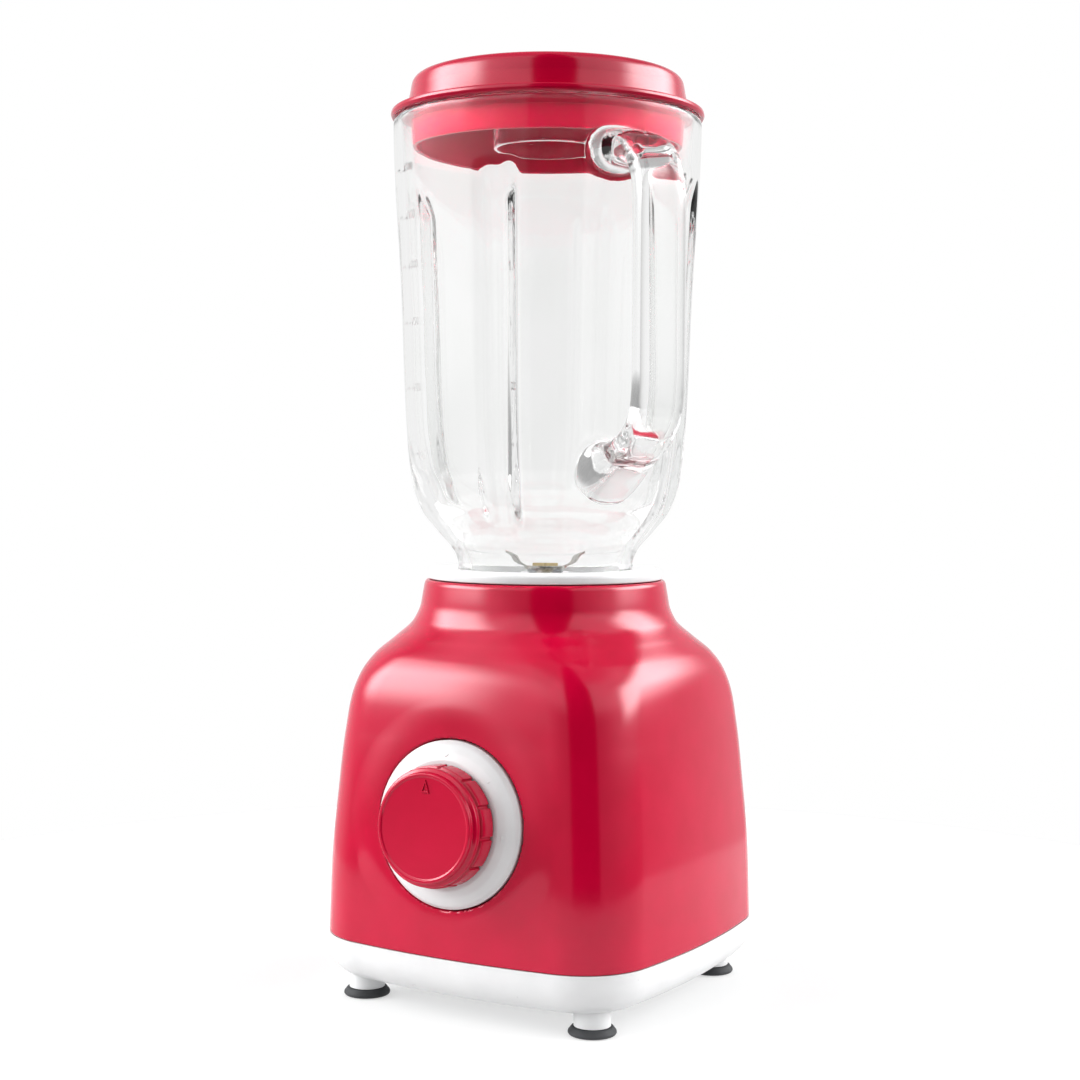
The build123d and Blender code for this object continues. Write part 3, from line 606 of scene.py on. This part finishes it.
def handle_mesh():
    """The loop handle: a rounded bar along a smooth path, swelling where it joins the jar."""
    path = np.array(HANDLE_PATH)
    knots = np.concatenate([[0], np.cumsum(np.hypot(*np.diff(path, axis=0).T))])
    across, up = curve_through(list(zip(knots, path[:, 0]))), curve_through(list(zip(knots, path[:, 1])))
    travel = np.linspace(0, knots[-1], 240)
    centre = np.stack([across(travel), up(travel)], -1)
    for _ in range(30):
        centre[1:-1] = 0.25 * centre[:-2] + 0.5 * centre[1:-1] + 0.25 * centre[2:]
    along = np.gradient(centre, axis=0)
    along /= np.linalg.norm(along, axis=1)[:, None]
    side = np.stack([-along[:, 1], along[:, 0]], -1)
    turn = np.linspace(0, 2 * pi, 72, endpoint=False)
    end = np.minimum(travel, knots[-1] - travel)
    foot = 1 - smooth_step(0, FOOT_LENGTH, end)
    bulge = np.where(travel > knots[-1] / 2, LOWER_BULGE, UPPER_BULGE)
    half_wide = BAR_WIDE[0] + BAR_WIDE[1] * foot * bulge
    half_thick = BAR_THICK[0] + BAR_THICK[1] * foot * bulge
    verts = []
    for i in range(len(travel)):
        squareness = BAR_SQUARENESS + FOOT_ROUNDING * foot[i]
        wide = np.sign(np.cos(turn)) * np.abs(np.cos(turn)) ** squareness
        thick = np.sign(np.sin(turn)) * np.abs(np.sin(turn)) ** squareness
        r = centre[i, 0] + side[i, 0] * thick * half_thick[i]
        z = centre[i, 1] + side[i, 1] * thick * half_thick[i]
        t = wide * half_wide[i]
        verts.append(np.stack([r * cos(HANDLE_ANGLE) - t * sin(HANDLE_ANGLE),
                               r * sin(HANDLE_ANGLE) + t * cos(HANDLE_ANGLE), z], -1))
    return capped("handle_form", np.concatenate(verts), len(travel), len(turn)), centre


def make_jar():
    columns = 360
    heights = np.concatenate([np.linspace(163, 187, 10), np.linspace(189, 250, 60), np.linspace(252, 376, 80),
                              [378, 379.4, 380.3, 380.7]])
    body = capped("jar_form", jar_skin(jar_outer, heights, columns, *OUTER_FLUTE), len(heights), columns)
    handle, handle_line = handle_mesh()
    joined = bpy.data.objects.new("jar_glass_body", body.data.copy())
    bpy.context.scene.collection.objects.link(joined)
    merge = joined.modifiers.new("handle", "BOOLEAN")
    merge.object, merge.operation, merge.solver = handle, "UNION", "EXACT"
    remesh = joined.modifiers.new("skin", "REMESH")
    remesh.mode, remesh.voxel_size = "VOXEL", VOXEL_MM * MM
    relax = joined.modifiers.new("relax", "SMOOTH")
    relax.factor, relax.iterations = 0.5, 16
    applied(joined)
    snap_to_form(joined, handle_line)
    hollow_heights = np.concatenate([np.linspace(158, 187, 8), np.linspace(190, 250, 60),
                                     np.linspace(252, 377, 70), [379.2, 380.2, 386]])
    hollow = capped("jar_hollow", jar_skin(jar_mouth, hollow_heights, columns, *INNER_FLUTE),
                    len(hollow_heights), columns)
    cut = joined.modifiers.new("hollow", "BOOLEAN")
    cut.object, cut.operation, cut.solver = hollow, "DIFFERENCE", "EXACT"
    applied(joined)
    for helper in (body, handle, hollow):
        bpy.data.objects.remove(helper)
    joined.data.polygons.foreach_set("use_smooth", [True] * len(joined.data.polygons))
    sharpen(joined, 60)
    finish_piece(joined, "jar", "jar_glass", "jar")


def jar_mouth(height):
    """The inner radius, with a small lead-in at the rim."""
    return jar_inner(height) + 1.0 * smooth_step(378.6, 380.8, height)


def snap_to_form(piece, handle_line):
    """Pull points away from the handle back onto the exact jar form, so that the wall runs true."""
    count = len(piece.data.vertices)
    points = np.empty(count * 3)
    piece.data.vertices.foreach_get("co", points)
    points = points.reshape(-1, 3) / MM
    angle = np.arctan2(points[:, 1], points[:, 0])
    radius = np.hypot(points[:, 0], points[:, 1])
    form = jar_outer(points[:, 2]) - flute_depth(angle, points[:, 2], *OUTER_FLUTE)
    on_side = (points[:, 2] > 164) & (points[:, 2] < 379.5) & (radius > 30)
    r = points[:, 0] * cos(HANDLE_ANGLE) + points[:, 1] * sin(HANDLE_ANGLE)
    t = -points[:, 0] * sin(HANDLE_ANGLE) + points[:, 1] * cos(HANDLE_ANGLE)
    near = np.full(count, 1e3)
    for cr, cz in handle_line[::3]:
        near = np.minimum(near, np.hypot(r - cr, points[:, 2] - cz))
    away = np.hypot(np.clip(near - 7, 0, None), np.clip(np.abs(t) - 11, 0, None))
    weight = smooth_step(5, 12, away) * on_side
    scale = 1 + weight * (form / np.maximum(radius, 1) - 1)
    points[:, :2] *= scale[:, None]
    piece.data.vertices.foreach_set("co", (points * MM).ravel())
    piece.data.update()


SCALE = ((1500, 356), (1250, 336), (1000, 315), (750, 291), (500, 263), (250, 234))  # volume, height
SCALE_FIGURE, SCALE_LINE = (4.6, 0.15), (9.0, 0.5, 0.3)
SUNK_IN_GLASS = 0.1


def make_scale_marks():
    """Raised graduation lines and figures on the jar, a quarter turn from the handle."""
    centre_angle = HANDLE_ANGLE - pi / 2
    for volume, height in SCALE:
        figure = text_mesh(f"scale_{volume}", f"{volume}", *SCALE_FIGURE)
        wrap_on_jar(figure, centre_angle + radians(3), height)
        finish_piece(figure, "jar", "jar_glass")
        line = rounded_block(f"scale_line_{volume}", SCALE_LINE, (0, 0, 0), 0.12)
        wrap_on_jar(line, centre_angle - radians(9), height)
        finish_piece(line, "jar", "jar_glass")


def wrap_on_jar(piece, angle, height):
    """Lay a flat mesh on the jar's outside, its X round the jar and its Y up."""
    for vertex in piece.data.vertices:
        x, y, z = vertex.co / MM
        radius = float(jar_outer(height + y)) + z - SUNK_IN_GLASS
        turn = angle + x / radius
        vertex.co = Vector((radius * cos(turn), radius * sin(turn), height + y)) * MM
    piece.data.update()


# ---------------------------------------------------------------- blades
BLADE_TURN = radians(28)
UPPER_LOW, LOWER_LOW, BLADE_THICK = 185.6, 184.2, 1.4  # heights of the undersides, thickness
BEVEL_WIDE, BACK_WIDE = 1.3, 0.4  # the ground edge, and the rounding of the back edge
# Along each wing: reach, rise, half width, how far its leading edge falls back, and how it leans.
UPPER_WING = ((5.0, 0.0, 4.6, 0, 0), (7.6, 0.1, 4.5, 0, 0), (9.2, 1.2, 4.5, 0.1, 0.25),
              (12.0, 5.0, 4.3, 0.4, 0.45), (15.0, 8.6, 3.9, 1.0, 0.5), (17.6, 11.2, 3.0, 2.2, 0.5))
LOWER_WING = ((5.0, 0.0, 4.6, 0, 0), (8.0, 0.0, 4.5, 0, 0), (10.0, -0.3, 4.3, 0.2, 0),
              (15.0, -0.9, 3.9, 0.8, 0), (20.0, -1.5, 3.2, 1.8, 0))


def make_wings(name, low, path, turn, node):
    """Two ground wings and their hub plate, as strips with a bevelled cutting edge."""
    verts, faces = [], []
    for side in (-1, 1):
        first = len(verts)
        for reach, rise, half, skew, lean in path:
            edge, ground, back = skew - half, skew - half + BEVEL_WIDE, half - BACK_WIDE
            for t, z in ((edge, 0.25 * BLADE_THICK), (ground, 0), (back, 0),
                         (half, 0.5 * BLADE_THICK), (back, BLADE_THICK), (ground, BLADE_THICK)):
                r = side * reach
                z = z + lean * t
                t = side * t
                verts.append(Vector((r * cos(turn) - t * sin(turn), r * sin(turn) + t * cos(turn),
                                     low + rise + z)) * MM)
        for i in range(len(path) - 1):
            for k in range(6):
                n = (k + 1) % 6
                a, b = first + i * 6, first + (i + 1) * 6
                faces.append((a + k, a + n, b + n, b + k))
        faces.append(tuple(first + k for k in range(6))[::-1])
        faces.append(tuple(first + (len(path) - 1) * 6 + k for k in range(6)))
    wings = new_piece(name, verts, faces, smooth=False)
    fix_normals(wings)
    high = low + BLADE_THICK
    hub = turned_piece(name + "_hub", [(4.0, low, 0), (9.6, low, 0.2), (9.6, high, 0.3), (4.0, high, 0)], 96)
    finish_piece(wings, "blades", "blade_steel", node)
    finish_piece(hub, "blades", "blade_steel")


def make_blades():
    make_wings("upper_wings", UPPER_LOW, UPPER_WING, BLADE_TURN, "upper_blade")
    make_wings("lower_wings", LOWER_LOW, LOWER_WING, BLADE_TURN + pi / 2, "lower_blade")


# ---------------------------------------------------------------- light and floor
class Studio:
    """The world: a soft front with a dark gap in it, a bright box at each side, a white wall behind."""

    def __init__(self):
        world = bpy.data.worlds.new("studio")
        bpy.context.scene.world = world
        world.use_nodes = True
        self.tree = world.node_tree
        self.background = self.tree.nodes["Background"]
        self.direction = self.tree.nodes.new("ShaderNodeTexCoord").outputs["Generated"]

    def feed(self, value, socket):
        if isinstance(value, (int, float)):
            socket.default_value = value
        else:
            self.tree.links.new(value, socket)

    def math(self, operation, first, second=0.0):
        node = self.tree.nodes.new("ShaderNodeMath")
        node.operation = operation
        self.feed(first, node.inputs[0])
        self.feed(second, node.inputs[1])
        return node.outputs[0]

    def along(self, x, y, z):
        node = self.tree.nodes.new("ShaderNodeVectorMath")
        node.operation = "DOT_PRODUCT"
        self.tree.links.new(self.direction, node.inputs[0])
        node.inputs[1].default_value = (x, y, z)
        return node.outputs["Value"]

    def ramp(self, value, low, high, to_low=0.0, to_high=1.0):
        node = self.tree.nodes.new("ShaderNodeMapRange")
        node.interpolation_type = "SMOOTHSTEP"
        node.inputs["From Min"].default_value, node.inputs["From Max"].default_value = low, high
        node.inputs["To Min"].default_value, node.inputs["To Max"].default_value = to_low, to_high
        self.feed(value, node.inputs["Value"])
        return node.outputs["Result"]

    def band(self, value, rise, fall, peak=1.0, last=0.0):
        """A smooth rise from 0 to peak, then a fall to the share last of it."""
        return self.math("MULTIPLY", self.ramp(value, *rise, 0.0, peak), self.ramp(value, *fall, 1.0, last))

    def blend(self, share, first, second):
        """first where share is 0, second where it is 1."""
        rest = self.math("SUBTRACT", 1.0, share)
        return self.math("ADD", self.math("MULTIPLY", rest, first), self.math("MULTIPLY", share, second))


# Each pair is the start and the end of a smooth change. GAP, SIDE and HOT turns are angles from the middle
# of the dark gap, BACK_TURN is an angle from the front, and rises and falls are sines of the elevation.
GAP_MIDDLE, GAP_EDGE = radians(6), (radians(18), radians(23))
LOW_GLOW, SIDE_GLOW, TOP_GLOW, HOT_GLOW, GAP_GLOW, BACK_GLOW = 0.45, 1.8, 1.2, 7.5, 0.03, 0.9
GROUND_GLOW, BACK_TOP_GLOW, ZENITH_SHARE = 0.25, 0.5, 0.15
LOW_RISE, BACK_FALL, BACK_TURN = (-0.45, 0.0), (0.4, 0.8), (radians(92), radians(122))
SIDE_TURN, SIDE_RISE, SIDE_FALL = (radians(20), radians(88)), (-0.1, 0.2), (0.45, 0.75)
TOP_RISE, TOP_FALL = (0.25, 0.62), (0.78, 0.97)
HOT_TURN, HOT_END = (radians(58), radians(78)), (radians(108), radians(135))
HOT_RISE, HOT_FALL = (0.1, 0.32), (0.48, 0.72)
# What shows through the glass: nearly white at the back, grey a little aside of it, pale elsewhere. The
# pairs are cosines of the angle from the front.
AT_BACK, ASIDE, ELSEWHERE = 0.97, 0.52, 0.9
ASIDE_COSINE, ELSEWHERE_COSINE = (-0.985, -0.55), (-0.75, -0.3)
THROUGH_GLASS = 5.5  # how much more light reaches what stands behind the glass
MIRRORED_LOW, MIRRORED_HIGH = 0.42, 0.9  # the least and most light in a reflection inside the glass


def make_lights():
    studio = Studio()
    towards = studio.along(sin(AZIMUTH), -cos(AZIMUTH), 0)
    across = studio.along(cos(AZIMUTH), sin(AZIMUTH), 0)
    up = studio.along(0, 0, 1)
    turn = studio.math("ARCTAN2", across, towards)
    from_gap = studio.math("ABSOLUTE", studio.math("SUBTRACT", turn, GAP_MIDDLE))
    boxes = studio.ramp(from_gap, *GAP_EDGE)
    low = studio.ramp(up, *LOW_RISE, GROUND_GLOW, LOW_GLOW)
    side = studio.math("MULTIPLY", studio.ramp(from_gap, *SIDE_TURN, 0.0, SIDE_GLOW),
                       studio.band(up, SIDE_RISE, SIDE_FALL))
    top = studio.band(up, TOP_RISE, TOP_FALL, TOP_GLOW, ZENITH_SHARE)
    hot = studio.math("MULTIPLY", studio.band(from_gap, HOT_TURN, HOT_END, HOT_GLOW),
                      studio.band(up, HOT_RISE, HOT_FALL))
    glow = studio.math("ADD", studio.math("ADD", low, side), top)
    front = studio.math("ADD", studio.math("MULTIPLY", boxes, glow), GAP_GLOW)
    back = studio.ramp(up, *BACK_FALL, BACK_GLOW, BACK_TOP_GLOW)
    behind = studio.ramp(studio.math("ABSOLUTE", turn), *BACK_TURN)
    lighting = studio.math("ADD", studio.blend(behind, front, back), hot)
    seen_through = studio.math("MAXIMUM", studio.ramp(towards, *ASIDE_COSINE, AT_BACK, ASIDE),
                               studio.ramp(towards, *ELSEWHERE_COSINE, ASIDE, ELSEWHERE))
    path = studio.tree.nodes.new("ShaderNodeLightPath").outputs
    lit = studio.math("GREATER_THAN", path["Diffuse Depth"], 0.5)
    mirrored = studio.math("GREATER_THAN", path["Glossy Depth"], 0.5)
    inside = studio.math("MINIMUM", studio.math("MAXIMUM", lighting, MIRRORED_LOW), MIRRORED_HIGH)
    seen_through = studio.blend(mirrored, seen_through, inside)
    seen_through = studio.blend(lit, seen_through, studio.math("MULTIPLY", lighting, THROUGH_GLASS))
    strength = studio.blend(path["Is Transmission Ray"], lighting, seen_through)
    strength = studio.blend(path["Is Camera Ray"], strength, 1.0)
    studio.tree.links.new(strength, studio.background.inputs["Strength"])
    studio.background.inputs["Color"].default_value = (1, 1, 1, 1)


FLOOR_RADIUS, FLOOR_HEIGHT, FLOOR_GLOW = 0.45, -0.0004, 0.55
FLOOR_HOLE = 0.01  # the radius of the floor's innermost ring of points, closed by one face


def make_floor():
    """A pale round table top."""
    verts, columns, rings = [], 128, 16
    for ring in range(rings):
        reach = FLOOR_HOLE + (FLOOR_RADIUS - FLOOR_HOLE) * ring / (rings - 1)
        for k in range(columns):
            turn = 2 * pi * k / columns
            verts.append((reach * cos(turn), reach * sin(turn), FLOOR_HEIGHT))
    faces = grid_faces(rings, columns, close_rows=False)
    faces.append(list(range(columns)))
    floor = new_piece("floor", verts, faces)
    shader = Shader("floor", Emission_Strength=FLOOR_GLOW)
    shader.body.inputs["Emission Color"].default_value = (1, 1, 1, 1)
    shader.colour(shader.noise(8, 2.0), (0.34, 0.34, 0.34), (0.36, 0.36, 0.36))
    shader.roughness(shader.noise(40, 2.0), 0.8, 0.9)
    floor.data.materials.append(shader.material)


# ---------------------------------------------------------------- build
make_camera()
make_lights()
make_floor()
bpy.context.scene.view_settings.view_transform = "Standard"
bpy.context.scene.view_settings.gamma = 0.85
cycles = bpy.context.scene.cycles  # light crosses the glass many times before it comes out
cycles.max_bounces, cycles.transmission_bounces, cycles.glossy_bounces = 40, 40, 30
dress_cad_nodes()
make_housing()
make_lid()
make_cap()
make_collar()
make_feet()
make_dial_ring()
make_knob()
make_jar()
make_scale_marks()
make_blades()

bpy.context.view_layer.update()
